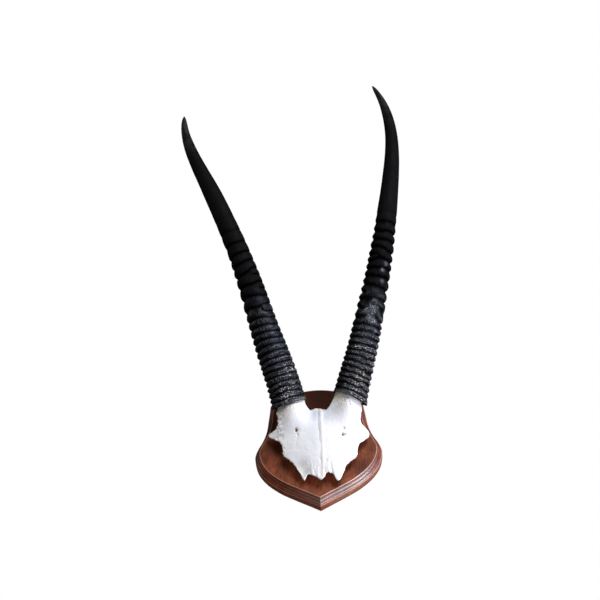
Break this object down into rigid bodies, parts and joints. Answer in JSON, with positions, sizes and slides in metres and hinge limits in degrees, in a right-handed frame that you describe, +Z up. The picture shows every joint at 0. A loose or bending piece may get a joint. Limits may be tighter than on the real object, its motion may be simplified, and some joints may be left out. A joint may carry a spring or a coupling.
{
  "type": "gemsbok skull plaque",
  "caption": "Gemsbok skull plate with ringed, outward-sweeping dark horns on a moulded wooden shield that hangs on a wall.",
  "frame": {"origin": "on the board's flat back, on its centre line, 114 mm above its bottom tip: where it lies against the wall", "axes": "+Z up along the board, +Y out of its back into the wall, so the skull and horns stand forward towards -Y"},
  "size_m": [0.3785, 0.2808, 0.7123],
  "materials": {
    "shield": "satin",
    "bone": "matte",
    "horn": "satin",
    "screws": "satin"
  },
  "bodies": {
    "root": {"shield_board": "shield", "skull_plate": "bone", "horn_left": "horn", "horn_right": "horn", "screw_lower": "screws", "screw_upper": "screws"}
  },
  "joints": []
}
